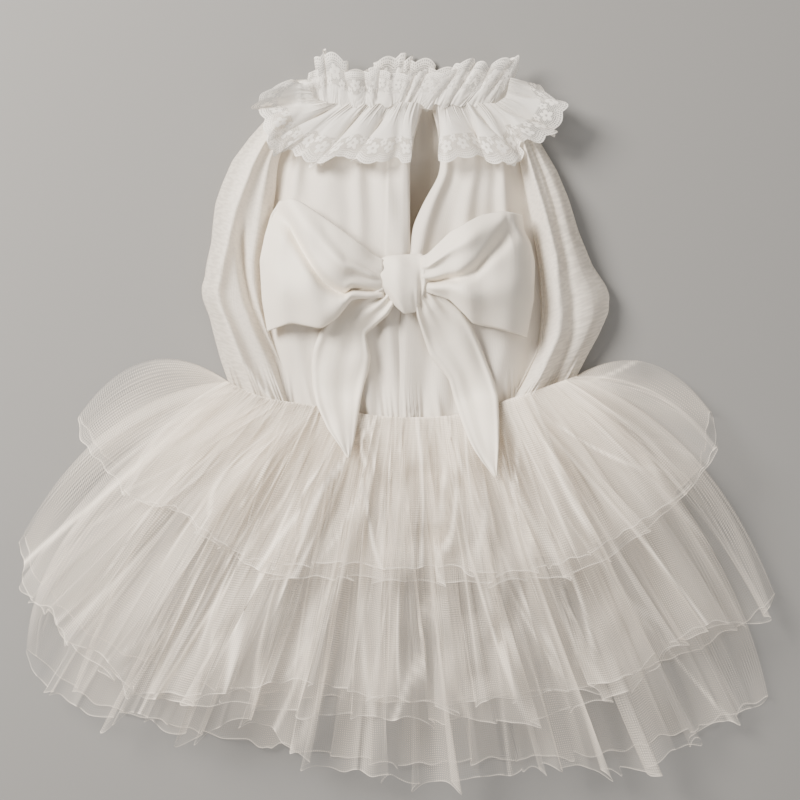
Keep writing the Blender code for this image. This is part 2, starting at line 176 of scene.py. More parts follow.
def layCloth(name, x, y, z, finish, slot, ring=False, thick=0.0, folds=None):
    # makes a piece from a flat grid whose points move to x, y, z; the UV map carries metres from the hem,
    # and the attribute "bunched" says how closely the cloth is drawn together
    rows, columns = x.shape[0] - 1, x.shape[1] - 1
    points = np.stack([x, y, z], -1)
    alongHem = arcs(points, 1)[-1]
    down = arcs(points, 0).mean(1)
    fromHem = down[-1] - down
    mesh = bmesh.new()
    cloth = mesh.loops.layers.uv.new("cloth")
    bunched = mesh.verts.layers.float.new("bunched")
    bmesh.ops.create_grid(mesh, x_segments=columns, y_segments=rows, size=0.5)
    mesh.verts.ensure_lookup_table()
    placed = {}
    for vert in mesh.verts:
        placed[vert.index] = (round((vert.co.y + 0.5) * rows), round((vert.co.x + 0.5) * columns))
    for vert in mesh.verts:
        vert.co = points[placed[vert.index]]
        vert[bunched] = 0.0 if folds is None else folds[placed[vert.index]]
    for face in mesh.faces:
        for loop in face.loops:
            row, column = placed[loop.vert.index]
            loop[cloth].uv = (alongHem[column], fromHem[row])
    if ring:
        bmesh.ops.remove_doubles(mesh, verts=mesh.verts, dist=1e-6)
    bmesh.ops.recalc_face_normals(mesh, faces=mesh.faces)
    if sum(face.normal.z * face.calc_area() for face in mesh.faces) < 0 and not ring:
        bmesh.ops.reverse_faces(mesh, faces=mesh.faces)
    data = bpy.data.meshes.new(name)
    mesh.to_mesh(data)
    mesh.free()
    data.shade_smooth()
    data.materials.append(finish)
    piece = bpy.data.objects.new(name, data)
    bpy.context.scene.collection.objects.link(piece)
    if thick:
        wall = piece.modifiers.new("wall", "SOLIDIFY")
        wall.thickness = thick
        wall.offset = -1
    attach(piece, "root")
    return piece


# shader maths
def plug(tree, target, value):
    if isinstance(value, Wire):
        tree.links.new(value.socket, target)
    elif isinstance(value, bpy.types.NodeSocket):
        tree.links.new(value, target)
    else:
        target.default_value = value


class Wire:
    def __init__(self, tree, socket):
        self.tree, self.socket = tree, socket

    def maths(self, operation, *others, swap=False):
        node = self.tree.nodes.new("ShaderNodeMath")
        node.operation = operation
        values = [*others, self] if swap else [self, *others]
        for target, value in zip(node.inputs, values):
            plug(self.tree, target, value)
        return Wire(self.tree, node.outputs[0])

    def __add__(self, other):
        return self.maths("ADD", other)

    def __sub__(self, other):
        return self.maths("SUBTRACT", other)

    def __rsub__(self, other):
        return self.maths("SUBTRACT", other, swap=True)

    def __mul__(self, other):
        return self.maths("MULTIPLY", other)

    def __truediv__(self, other):
        return self.maths("DIVIDE", other)

    def __gt__(self, other):
        return self.maths("GREATER_THAN", other)

    def __lt__(self, other):
        return self.maths("LESS_THAN", other)

    __radd__ = __add__
    __rmul__ = __mul__

    def least(self, other):
        return self.maths("MINIMUM", other)

    def most(self, other):
        return self.maths("MAXIMUM", other)

    def sine(self):
        return self.maths("SINE")

    def size(self):
        return self.maths("ABSOLUTE")

    def part(self):
        return self.maths("FRACT")


class Finish:
    # one material: its node tree, and the one method that adds other nodes
    def __init__(self, name):
        self.material = bpy.data.materials.new(name)
        self.material.use_nodes = True
        self.tree = self.material.node_tree
        self.tree.nodes.clear()

    def node(self, kind, settings, sockets, output=0):
        made = self.tree.nodes.new("ShaderNode" + kind)
        for key, value in settings.items():
            setattr(made, key, value)
        for key, value in sockets.items():
            plug(self.tree, made.inputs[key], value)
        return Wire(self.tree, made.outputs[output])

    def range(self, value, low, high, start=0.0, end=1.0, soft=False):
        kind = {"interpolation_type": "SMOOTHSTEP"} if soft else {"clamp": True}
        return self.node("MapRange", kind, {0: value, 1: low, 2: high, 3: start, 4: end})

    def apart(self, vector):
        return [self.node("SeparateXYZ", {}, {0: vector}, k) for k in range(2)]

    def surface(self, shader):
        out = self.tree.nodes.new("ShaderNodeOutputMaterial")
        self.tree.links.new(shader.socket, out.inputs["Surface"])
        return self.material


# finishes
tulleLook = {"colour": (0.95, 0.86, 0.745), "cell": 0.0011, "thread": 0.20, "hem": 0.33}
laceLook = {"colour": (0.90, 0.86, 0.80), "scallop": 0.0105, "dip": 0.0019, "border": 0.015, "net": 0.0009, "ground": 0.42}
chiffonLook = {"colour": (0.90, 0.835, 0.745), "thread": 0.0006, "grain": 0.35, "glow": 0.22}
satinLook = {"colour": (0.92, 0.845, 0.735), "thread": 0.00045, "grain": 0.18, "glow": 0.10}


def clothShader(make, look, roughness, bumps, glow, sheen=0.0):
    # a matt cloth that lets some light through to its other side
    front = make.node("BsdfPrincipled", {}, {"Base Color": (*look["colour"], 1), "Roughness": roughness, "Sheen Weight": sheen})
    if bumps:
        plug(make.tree, front.socket.node.inputs["Normal"], bumps)
    behind = make.node("BsdfTranslucent", {}, {"Color": (*look["colour"], 1)})
    if bumps:
        plug(make.tree, behind.socket.node.inputs["Normal"], bumps)
    return make.node("MixShader", {}, {0: glow, 1: front, 2: behind})


def netOf(make, uv, cell, wide):
    # threads of a fine net, 1 on a thread and 0 in a hole
    edge = make.node("TexVoronoi", {"feature": "DISTANCE_TO_EDGE", "voronoi_dimensions": "2D"},
                     {"Vector": uv, "Scale": 1 / cell, "Randomness": 0.35}, output="Distance")
    return make.range(edge, wide * 0.4, wide, 1.0, 0.0)


def tulleFinish(name, look):
    make = Finish(name)
    across, fromHem = make.apart(make.node("UVMap", {"uv_map": "cloth"}, {}))
    turn, rise = across * (math.pi / look["cell"]), fromHem * (0.94 * math.pi / look["cell"])
    net = (turn + rise).sine() * (turn - rise).sine()  # slanting threads that cross
    bunched = make.node("Attribute", {"attribute_name": "bunched"}, {}, output="Fac")
    cover = net * look["thread"] + (fromHem < 0.0006) * look["hem"] + bunched
    threads = make.node("BsdfPrincipled", {}, {"Base Color": (*look["colour"], 1), "Roughness": 0.8, "Specular IOR Level": 0.0})
    clear = make.node("BsdfTransparent", {}, {})
    return make.surface(make.node("MixShader", {}, {0: cover, 1: clear, 2: threads}))


def laceFinish(name, look, plain=0.9):
    make = Finish(name)
    uv = make.node("UVMap", {"uv_map": "cloth"}, {})
    across, fromHem = make.apart(uv)
    turn = across * (math.pi / look["scallop"])
    arch = turn.sine().size()
    rise = fromHem + arch * look["dip"] - look["dip"]  # distance from the scalloped edge
    inside = rise > 0.0
    cordEdge = rise < 0.0007
    rings = []
    for low, high in ((0.0016, 0.0021), (0.0029, 0.0033), (0.0040, 0.0043)):
        rings.append((rise > low) * (rise < high))
    bars = ((across * (1 / 0.0011)).part() < 0.38) * (rise < 0.0030)
    petals = flowers(make, across, fromHem, look["scallop"] * 1.0, 0.0085, 0.0036)
    leaves = flowers(make, across + look["scallop"] * 0.5, fromHem, look["scallop"] * 1.0, 0.0125, 0.0026)
    net = netOf(make, uv, look["net"], 0.22) * look["ground"] * 1.6
    open_ = make.range(net, 0.0, 1.0, look["ground"] * 0.45, 1.0)
    border = make.range(fromHem, look["border"] * 0.85, look["border"], 0.0, plain, soft=True)
    solid = cordEdge.most(rings[0]).most(rings[1]).most(rings[2]).most(bars).most(petals).most(leaves)
    cover = inside * solid.most(open_).most(border)
    height = make.node("Bump", {}, {"Strength": 0.5, "Distance": 0.0003, "Height": solid})
    threads = clothShader(make, look, 0.75, height, 0.2)
    clear = make.node("BsdfTransparent", {}, {})
    return make.surface(make.node("MixShader", {}, {0: cover, 1: clear, 2: threads}))


def flowers(make, across, fromHem, period, high, radius):
    # a row of small open flowers: petals round an empty eye
    x = ((across / period).part() - 0.5) * period
    y = fromHem - high
    far = (x * x + y * y).maths("POWER", 0.5)
    angle = y.maths("ARCTAN2", x)
    lobe = (angle * 2.5).sine().size() * 0.45 + 0.55
    return (far < lobe * radius) * (far > radius * 0.22)


def weaveFinish(name, look, cover, roughness, sheen=0.0):
    # plain weave; cover below 1 lets the ground show through, a little unevenly
    make = Finish(name)
    uv = make.node("UVMap", {"uv_map": "cloth"}, {})
    across, along = make.apart(uv)
    warp = (across * (2 * math.pi / look["thread"])).sine()
    weft = (along * (2 * math.pi / look["thread"])).sine()
    height = make.node("Bump", {}, {"Strength": look["grain"], "Distance": 0.00015, "Height": (warp + weft) * 0.4})
    threads = clothShader(make, look, roughness, height, look["glow"], sheen)
    if cover >= 1:
        return make.surface(threads)
    slub = make.node("TexNoise", {"noise_dimensions": "2D"}, {"Vector": uv, "Scale": 700.0, "Detail": 0.0}, output=0)
    bunched = make.node("Attribute", {"attribute_name": "bunched"}, {}, output="Fac")
    thin = make.range(slub, 0.35, 0.65, cover - 0.08, cover + 0.08) + bunched * (1 - cover)
    clear = make.node("BsdfTransparent", {}, {})
    return make.surface(make.node("MixShader", {}, {0: thin, 1: clear, 2: threads}))


tulleCloth = tulleFinish("tulle net", tulleLook)
laceCloth = laceFinish("neck lace", laceLook)
bodiceCloth = weaveFinish("bodice chiffon", chiffonLook, 1.0, 0.85, 0.2)
sleeveCloth = weaveFinish("sleeve chiffon", chiffonLook, 0.62, 0.85, 0.2)
bowCloth = weaveFinish("bow cloth", satinLook, 1.0, 0.62, 0.3)
print("finishes made")


# skirt: spokes run from the waist to the hem, each with its share along the waist, a bend and its hem point in pixels
waist = {
    "line": [(226, 381), (248, 393), (270, 400), (301, 403), (340, 410), (376, 416), (417, 418), (458, 416),
             (500, 402), (531, 392), (556, 383), (577, 376)],
}
lift = {"far": [0.0, 0.03, 0.077, 0.13, 0.19], "high": [0.008, 0.022, 0.034, 0.027, 0.012], "round": 3.2}
gatherTable = {"count": 7, "height": 0.0052, "crest": 0.0022, "ceiling": 0.042, "room": 0.018}
creaseTable = {"count": 30, "wide": 0.0021, "high": 0.0014}
netTable = {"haze": 0.105, "uneven": 0.12, "gathered": 0.27, "line": 0.80}  # share of the ground that the net hides


def spokePlaces(rows):
    # waist, bend and hem points of each spoke, and where it stands across the sheet
    line = fromPhoto(waist["line"])
    starts, bends, ends = [], [], []
    for share, bend, end in rows:
        start = walk(line, [share])[0]
        tip = fromPhoto(end)
        starts.append(start)
        ends.append(tip)
        bends.append(fromPhoto(bend) if bend else (start + tip) / 2)
    ends = np.array(ends)
    return lengthsOf(ends), np.array(starts), np.array(bends), ends


def spokeSheet(rows, across, down, soft=0.012):
    # points of a sheet that is spanned between its spokes
    stations, starts, bends, ends = spokePlaces(rows)
    dense = np.linspace(0, 1, 1201)
    lines = []
    for points, width in ((starts, 0.03), (bends, 0.03), (ends, soft)):
        line = np.stack([np.interp(dense, stations, points[:, k]) for k in (0, 1)], -1)
        lines.append(softLine(line, width))
    across = np.clip(across, 0, 1)
    start, bend, end = [np.stack([np.interp(across, dense, line[:, k]) for k in (0, 1)], -1) for line in lines]
    turn = 2 * bend - (start + end) / 2
    t = down[..., None]
    place = (1 - t) ** 2 * start + 2 * t * (1 - t) * turn + t**2 * end
    return place, np.linalg.norm(end - start, axis=-1)


def pleatList(count, seed, width, overlap, height, low=0.03, high=0.97, strong=()):
    # loose knife pleats at uneven places, some broad and some thin, and the strong ones that the photo shows
    own = np.random.default_rng(seed)
    places = np.linspace(low, high, count) + own.uniform(-0.75, 0.75, count) * (high - low) / count
    pleats = []
    for place in places:
        size = np.exp(own.normal(0, 0.45))
        lean = own.choice((-1, 1))
        drift = own.normal(0, 0.018)
        pleats.append((place, width * size, overlap * own.uniform(0.55, 1.15), height * size**0.6, lean, own.uniform(0.4, 1.3), drift))
    for place, lean in strong:
        pleats.append((place, width * 1.5, overlap * 1.15, height * 1.5, lean, 1.6, 0.012 * lean))
    return pleats


def pleat(across, down, pleats, tip):
    # knife pleats: the sheet runs back under itself along each one, and its hem juts out there
    grow = ease(0.0, 0.28, down)
    shift, rise, jut = 0, 0, 0
    for place, width, overlap, height, lean, point, drift in pleats:
        wide = width * mix(0.3, 1.0, down)  # a wedge that opens towards the hem
        s = (across - place - drift * (1 - down)) / wide
        shift = shift - overlap * wide * s * np.exp(-s * s) * grow
        rise = rise + height * np.exp(-(((s - 0.6 * lean) / 0.9) ** 2)) * (0.35 + 0.65 * grow)
        jut = jut + tip * point * np.exp(-(((s - 0.62 * lean) / 0.55) ** 2))
    return shift, rise, jut


def creaseLines(across, down, seed):
    # thin folds that run down the net, drift sideways and fade out at both ends
    own = np.random.default_rng(seed)
    total = np.zeros_like(across)
    for _ in range(creaseTable["count"]):
        line = own.uniform(0.01, 0.99) + own.normal(0, 0.055) * down + own.normal(0, 0.016) * np.sin(math.pi * down)
        first, last = own.uniform(-0.3, 0.35), own.uniform(0.5, 1.4)
        fade = ease(first, first + 0.15, down) * (1 - ease(last - 0.25, last, down))
        strength, wide = own.uniform(0.15, 1.0) ** 1.5, creaseTable["wide"] * own.uniform(0.8, 2.2)
        total = np.maximum(total, strength * bump(across, line, wide) * fade)
    return total


def tulleShape(rows, columns, steps, pleats, tip, floorShare, pile, gap, seed, fine=0.0007):
    across, down = shares(columns, steps)
    shift, rise, jut = pleat(across, down, pleats, tip)
    # the hem's small unevenness
    jut = jut + 0.006 * noise(across, 0, seed + 7, 7, 24)
    run = down * (1 + jut * down**3)
    place, length = spokeSheet(rows, across + shift, run)
    x, y = place[..., 0], place[..., 1]
    far = down * length
    side = np.clip(np.abs(2 * across - 1), 0, 1)
    dome = np.sqrt(np.clip(1 - side ** lift["round"], 0, 1))
    rest = 0.0006 + floorShare * np.interp(far, lift["far"], lift["high"]) * dome
    under = readMap(softMap(np.maximum(pile, 0), 1), x, y)
    level = np.maximum(rest, under + gap)
    level = np.stack([softLine(column[:, None], 0.02)[:, 0] for column in level.T], -1)
    level = softLine(level.T, 0.004).T
    gather = 0.5 + 0.5 * noise(across, down, seed, 7, gatherTable["count"], 0.35)
    crimp = fine * np.exp(-down / 0.10) * np.sin(2 * math.pi * (55 * across + 6 * noise(across, down, seed + 3, 5, 9, 0.4)))
    lines = creaseLines(across, down, seed + 11) if floorShare else np.zeros_like(across)
    crease = 1 - np.abs(noise(across, 0.3 * down, seed + 9, 5, 11, 0.3))  # sharp crests between rounded valleys
    body = (gatherTable["height"] * gather + gatherTable["crest"] * np.clip(crease, 0, 1) ** 3) * ease(0, 0.35, down)
    body = body * (0.35 + 0.65 * floorShare) * ease(0, 0.25, dome)
    z = level + body + rise * ease(0, 0.2, dome) + crimp + abs(fine) + creaseTable["high"] * lines
    over = np.maximum(z - gatherTable["ceiling"], 0)  # the top of the heap sags under its own weight
    z = z - over + gatherTable["room"] * (1 - np.exp(-over / gatherTable["room"]))
    pressOn(pile, x, y, z)
    drift = netTable["uneven"] * np.clip(noise(across, down, seed + 17, 7, 9, 0.9), -1.2, 1.2)
    hides = netTable["haze"] + drift + netTable["gathered"] * (1 - ease(0, 0.45, down)) + netTable["line"] * lines
    return x, y, z, np.clip(hides, 0, 0.75)


def closeRing(front, back):
    # one ring from a front and a back sheet that share their two side folds
    ring = []
    for a, b in zip(front, back):
        a, b = a.copy(), b.copy()
        a[:, -1] = b[:, 0] = (a[:, -1] + b[:, 0]) / 2
        a[:, 0] = b[:, -1] = (a[:, 0] + b[:, -1]) / 2
        ring.append(np.concatenate([a, b[:, 1:]], 1))
    return ring


tierShort = {
    "front": [
        (0.00, (146, 360), (77, 415)), (0.03, (150, 384), (79, 430)), (0.06, (160, 404), (87, 448)), (0.10, None, (112, 470)),
        (0.13, None, (128, 489)), (0.17, None, (147, 502)), (0.22, None, (185, 507)), (0.26, None, (206, 529)),
        (0.31, None, (248, 560)), (0.36, None, (286, 573)), (0.42, None, (352, 571)), (0.48, None, (380, 574)),
        (0.56, None, (430, 577)), (0.67, None, (490, 577)), (0.76, None, (563, 572)), (0.82, None, (600, 555)),
        (0.87, None, (640, 528)), (0.91, None, (675, 498)), (0.95, (645, 412), (704, 470)), (0.98, (652, 384), (716, 439)),
        (1.00, (650, 362), (712, 412)),
    ],
    "back": [
        (1.00, (650, 362), (712, 412)), (0.93, None, (704, 466)), (0.85, None, (655, 520)), (0.70, None, (560, 556)),
        (0.50, None, (400, 566)), (0.30, None, (240, 548)), (0.15, None, (150, 496)), (0.06, None, (92, 446)),
        (0.00, (146, 360), (77, 415)),
    ],
}
tierMid = {
    "front": [
        (0.00, (112, 425), (21, 537)), (0.02, (112, 446), (19, 549)), (0.05, None, (26, 562)), (0.07, None, (20, 585)),
        (0.09, None, (34, 600)), (0.12, None, (56, 610)), (0.15, None, (71, 647)), (0.19, None, (110, 660)),
        (0.23, None, (138, 697)), (0.28, None, (191, 696)), (0.31, None, (217, 703)), (0.34, None, (232, 694)),
        (0.38, None, (290, 705)), (0.44, None, (360, 712)), (0.50, None, (433, 716)), (0.57, None, (481, 716)),
        (0.64, None, (533, 718)), (0.69, None, (563, 706)), (0.74, None, (604, 694)), (0.78, None, (630, 687)),
        (0.83, None, (655, 662)), (0.87, None, (678, 637)), (0.91, None, (719, 620)), (0.94, None, (747, 626)),
        (0.97, (692, 480), (767, 617)), (1.00, (695, 455), (779, 596)),
    ],
    "back": [
        (1.00, (695, 455), (779, 596)), (0.95, None, (752, 622)), (0.85, None, (690, 655)), (0.70, None, (590, 690)),
        (0.50, None, (400, 705)), (0.30, None, (210, 690)), (0.15, None, (90, 640)), (0.05, None, (30, 575)),
        (0.00, (112, 425), (21, 537)),
    ],
}
tierLong = {
    "front": [
        (0.00, (75, 520), (24, 650)), (0.03, None, (28, 667)), (0.07, None, (51, 690)), (0.11, None, (92, 716)),
        (0.14, None, (110, 722)), (0.17, None, (140, 706)), (0.20, None, (153, 721)), (0.24, None, (182, 736)),
        (0.28, None, (207, 731)), (0.32, None, (249, 710)), (0.36, None, (275, 729)), (0.40, None, (306, 759)),
        (0.44, None, (339, 770)), (0.48, None, (393, 772)), (0.51, None, (415, 781)), (0.60, None, (510, 773)),
        (0.64, None, (539, 759)), (0.68, None, (568, 767)), (0.72, None, (604, 768)), (0.77, None, (650, 767)),
        (0.80, None, (660, 757)), (0.83, None, (675, 752)), (0.87, None, (691, 734)), (0.94, None, (752, 711)),
        (1.00, (706, 536), (771, 699)),
    ],
    "back": [
        (1.00, (706, 536), (771, 699)), (0.92, None, (720, 722)), (0.75, None, (620, 755)), (0.50, None, (400, 768)),
        (0.30, None, (220, 740)), (0.12, None, (90, 705)), (0.00, (75, 520), (24, 650)),
    ],
}
midOver = {
    "front": [
        (0.00, (118, 463), (17, 588)), (0.06, None, (56, 607)), (0.12, None, (73, 640)), (0.18, None, (110, 652)),
        (0.24, None, (138, 688)), (0.30, None, (191, 690)), (0.35, None, (228, 686)), (0.42, None, (300, 672)),
        (0.50, None, (380, 690)), (0.57, None, (450, 700)), (0.65, None, (520, 690)), (0.72, None, (590, 682)),
        (0.78, None, (630, 668)), (0.84, None, (668, 636)), (0.92, None, (716, 616)), (1.00, (668, 493), (747, 625)),
    ],
}
shortOver = {
    "front": [
        (0.00, (160, 428), (128, 487)), (0.05, None, (147, 499)), (0.12, None, (185, 504)), (0.18, None, (206, 524)),
        (0.24, None, (248, 552)), (0.30, None, (286, 560)), (0.42, None, (345, 556)), (0.50, None, (400, 564)),
        (0.60, None, (450, 560)), (0.68, None, (490, 570)), (0.76, None, (530, 563)), (0.80, None, (563, 557)),
        (0.86, None, (610, 534)), (0.92, None, (655, 505)), (0.96, None, (690, 482)), (1.00, (652, 390), (715, 442)),
    ],
}

pile = np.full((relief["count"], relief["count"]), 0.0)
backs = {}
for name, rows, seed, steps in (("short", tierShort, 21, 24), ("mid", tierMid, 22, 30), ("long", tierLong, 23, 30)):
    backs[name] = tulleShape(rows["back"], 240, steps, pleatList(18, seed, 0.008, 1.6, 0.0006), 0.01, 0.0, pile, 0.0006, seed, 0.0001)
hemPleats = {
    "short": {"at": [(286, 1), (352, -1), (378, 1), (440, -1), (490, 1), (563, -1), (206, 1), (640, -1)], "count": 17, "width": 0.0085, "tip": 0.016},
    "shortOver": {"at": [(250, 1), (345, 1), (470, -1), (530, -1)], "count": 15, "width": 0.0080, "tip": 0.024},
    "mid": {"at": [(110, 1), (191, 1), (300, 1), (433, -1), (533, -1), (604, -1), (678, -1)], "count": 16, "width": 0.0080, "tip": 0.014},
    "midOver": {"at": [(138, 1), (228, 1), (380, 1), (450, -1), (590, -1), (668, -1)], "count": 16, "width": 0.0085, "tip": 0.020},
    "long": {"at": [(110, 1), (182, 1), (249, 1), (306, 1), (415, 1), (455, -1), (539, -1), (604, -1), (650, -1), (691, -1)], "count": 18, "width": 0.0075, "tip": 0.020},
}


def hemShares(rows, places):
    # where a strong pleat stands, from the pixel at which it meets the hem
    stations = spokePlaces(rows)[0]
    return [(float(np.interp(x, [row[2][0] for row in rows], stations)), lean) for x, lean in places]


def laySide(name, rows, steps, columns, seed, gap):
    spec = hemPleats[name]
    pleats = pleatList(spec["count"], seed, spec["width"], 2.1, 0.0022, strong=hemShares(rows, spec["at"]))
    return tulleShape(rows, columns, steps, pleats, spec["tip"], 1.0, pile, gap, seed)


fronts, overs = {}, {}
fronts["long"] = laySide("long", tierLong["front"], 30, 600, 31, 0.0010)
fronts["mid"] = laySide("mid", tierMid["front"], 30, 600, 32, 0.0010)
overs["mid"] = laySide("midOver", midOver["front"], 28, 560, 33, 0.0010)
fronts["short"] = laySide("short", tierShort["front"], 24, 560, 34, 0.0010)
overs["short"] = laySide("shortOver", shortOver["front"], 22, 520, 35, 0.0010)

skirtFlat = {"short": (0.72, 0.10), "mid": (0.80, 0.16), "long": (0.76, 0.19), "shortOver": (0.38, 0.10), "midOver": (0.44, 0.16)}
for name in ("long", "mid", "short"):
    x, y, z, hides = closeRing(fronts[name], backs[name])
    piece = layCloth("tulle_" + name, x, y, z, tulleCloth, "tulle", ring=True, folds=hides)
    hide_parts("skirt_tier_" + name)
for name in ("mid", "short"):
    x, y, z, hides = overs[name]
    piece = layCloth("tulle_" + name + "_over", x, y, z, tulleCloth, "tulle", folds=hides)
    skirtFlat[name + "Over"]
    "tulle_" + name
print("skirt laid")


# bodice
def patch(bottom, top, left, right, across, up):
    # a sheet spanned between four lines of pixels: bottom and top run left to right, left and right run upwards
    bottom, top, left, right = [fromPhoto(line) for line in (bottom, top, left, right)]
    low, high = walk(bottom, across.ravel(), 0.02), walk(top, across.ravel(), 0.02)
    first, last = walk(left, up.ravel(), 0.02), walk(right, up.ravel(), 0.02)
    s, t = across.reshape(-1, 1), up.reshape(-1, 1)
    corners = (1 - s) * (1 - t) * bottom[0] + s * (1 - t) * bottom[-1] + (1 - s) * t * top[0] + s * t * top[-1]
    place = (1 - t) * low + t * high + (1 - s) * first + s * last - corners
    return place[:, 0].reshape(across.shape), place[:, 1].reshape(across.shape)


def follow(folds, across, up):
    # height of folds given as lines through the sheet: each a list of (across, up), a width and a height
    total = np.zeros_like(across)
    for fold in folds:
        path = np.array(fold["path"])
        middle = np.interp(up, path[:, 1], path[:, 0])
        fade = ease(path[0, 1] - 0.08, path[0, 1] + 0.05, up) * (1 - ease(path[-1, 1] - 0.05, path[-1, 1] + 0.08, up))
        total = total + fold["height"] * bump(across, middle, fold["width"]) * fade
    return total


bodyNodes = ["bodice_front_left", "bodice_front_right"]
chest = softMap(fillMap(mapOf(bodyNodes), 14), 3)
upper = np.full((relief["count"], relief["count"]), 0.0)  # the pile of cloths above the waist

bodiceBack = {
    "bottom": [(262, 402), (301, 408), (376, 420), (458, 420), (500, 407), (540, 397)],
    "top": [(312, 108), (360, 108), (410, 108), (460, 108), (503, 108)],
    "left": [(262, 402), (262, 330), (262, 263), (270, 200), (280, 150), (312, 108)],
    "right": [(540, 397), (541, 341), (541, 273), (534, 200), (526, 150), (503, 108)],
    "flat": (0.145, 0.155), "wall": 0.0006,
}
frontLeft = {
    "bottom": [(266, 400), (301, 405), (340, 411), (376, 417), (410, 419)],
    "top": [(312, 107), (340, 107), (370, 107), (400, 107), (423, 107)],
    "left": [(266, 400), (263, 329), (260, 263), (272, 212), (277, 159), (292, 125), (312, 107)],
    "right": [(410, 419), (411, 340), (412, 262), (410, 249), (410, 200), (410, 160), (416, 132), (423, 107)],
    "folds": [
        {"path": [(0.16, 0.0), (0.10, 0.5), (0.20, 1.0)], "width": 0.055, "height": 0.0022},
        {"path": [(0.42, 0.15), (0.36, 0.6), (0.46, 1.0)], "width": 0.07, "height": 0.0014},
        {"path": [(0.66, 0.5), (0.60, 0.8), (0.64, 1.0)], "width": 0.05, "height": 0.0014},
        {"path": [(0.80, 0.0), (0.78, 0.3)], "width": 0.05, "height": -0.0016},
    ],
    "placket": 0.83, "flat": (0.082, 0.155), "wall": 0.0006,
}
frontRight = {
    "bottom": [(396, 419), (440, 418), (472, 412), (500, 403), (534, 394)],
    "top": [(432, 107), (450, 107), (470, 107), (488, 107), (503, 107)],
    "left": [(396, 419), (398, 340), (405, 270), (410, 249), (413, 226), (424, 202), (439, 176), (441, 160), (438, 130), (432, 107)],
    "right": [(534, 394), (543, 341), (543, 273), (538, 243), (530, 200), (522, 150), (503, 107)],
    "folds": [
        {"path": [(0.05, 0.42), (0.10, 0.62), (0.08, 0.9)], "width": 0.06, "height": 0.0026},
        {"path": [(0.36, 0.1), (0.44, 0.55), (0.42, 1.0)], "width": 0.08, "height": 0.0016},
        {"path": [(0.70, 0.0), (0.78, 0.5), (0.72, 1.0)], "width": 0.07, "height": 0.0022},
        {"path": [(0.20, 0.0), (0.24, 0.3)], "width": 0.06, "height": -0.0016},
    ],
    "placket": None, "flat": (0.072, 0.155), "wall": 0.0006,
}


def layBack(spec):
    across, up = shares(70, 110)
    x, y = patch(spec["bottom"], spec["top"], spec["left"], spec["right"], across, up)
    wave = 0.5 + 0.5 * noise(across, up, 41, 6, 3, 2)
    gather = 0.0008 * ease(0.75, 1.0, up) * (1 + np.sin(2 * math.pi * 26 * across))
    z = 0.0012 + 0.0007 * wave + gather + 0.0016 * ease(0.80, 0.86, up)
    piece = layCloth("bodice_back_cloth", x, y, z, bodiceCloth, "chiffon", thick=spec["wall"])
    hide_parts("bodice_back")


def layPanel(name, spec, side):
    across, up = shares(110, 170)
    x, y = patch(spec["bottom"], spec["top"], spec["left"], spec["right"], across, up)
    inner = across if side < 0 else 1 - across  # 0 at the sleeve's seam, 1 at the slit
    top = readMap(chest, x, y)
    gather = ease(0.80, 1.0, up) * 0.0006 * (1 + np.sin(2 * math.pi * (8 * across + 1.2 * noise(across, up, 5, 4, 3, 1))))
    waistGather = (1 - ease(0, 0.13, up)) * 0.0006 * (1 + np.sin(2 * math.pi * (10 * across + 1.5 * noise(across, up, 6, 4, 3, 1))))
    body = top - 0.0024 + follow(spec["folds"], across, up) + 0.0006 * noise(across, up, 11 + side, 7, 4, 2.2)
    z = mix(0.0022, body, ease(-0.02, 0.11, inner) ** 0.7) + gather + waistGather
    if spec["placket"]:
        opened = ease(0.42, 0.55, up)  # the placket shows above the bow, and its edge tucks away below it
        z = z + 0.0017 * opened * ease(spec["placket"] - 0.006, spec["placket"] + 0.006, across) * (1 - ease(0.985, 1.0, across) * 0.6)
        z = z - 0.0022 * (1 - opened) * ease(0.84, 1.0, across)
    z = z - 0.0012 * ease(0.94, 1.0, inner)
    pressOn(upper, x, y, z)
    piece = layCloth(name + "_cloth", x, y, z, bodiceCloth, "chiffon", thick=spec["wall"])
    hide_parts(name)


layBack(bodiceBack)
layPanel("bodice_front_left", frontLeft, -1)
layPanel("bodice_front_right", frontRight, 1)
print("bodice laid")


# sleeves: closed puffs of thin cloth beside the bodice
sleeveLeft = {
    "outer": [(231, 393), (219, 359), (212, 333), (208, 316), (201, 298), (200, 286), (203, 278), (205, 263), (210, 241),
              (211, 227), (214, 202), (221, 182), (231, 159), (249, 135), (268, 114), (290, 106)],
    "inner": [(300, 412), (282, 366), (268, 332), (263, 300), (262, 263), (270, 225), (275, 190), (277, 160), (290, 128), (312, 108)],
    "folds": [
        {"path": [(0.62, 0.0), (0.38, 0.12), (0.26, 0.36), (0.36, 0.55), (0.50, 0.80), (0.55, 1.0)], "width": 0.11, "height": 0.0048},
        {"path": [(0.93, 0.0), (0.92, 0.16), (0.84, 0.30), (0.68, 0.42), (0.56, 0.53)], "width": 0.075, "height": -0.0062},
        {"path": [(0.84, 0.45), (0.80, 0.7), (0.84, 1.0)], "width": 0.10, "height": 0.0022},
    ],
    "flat": (0.078, 0.155), "loft": 0.0125,
}
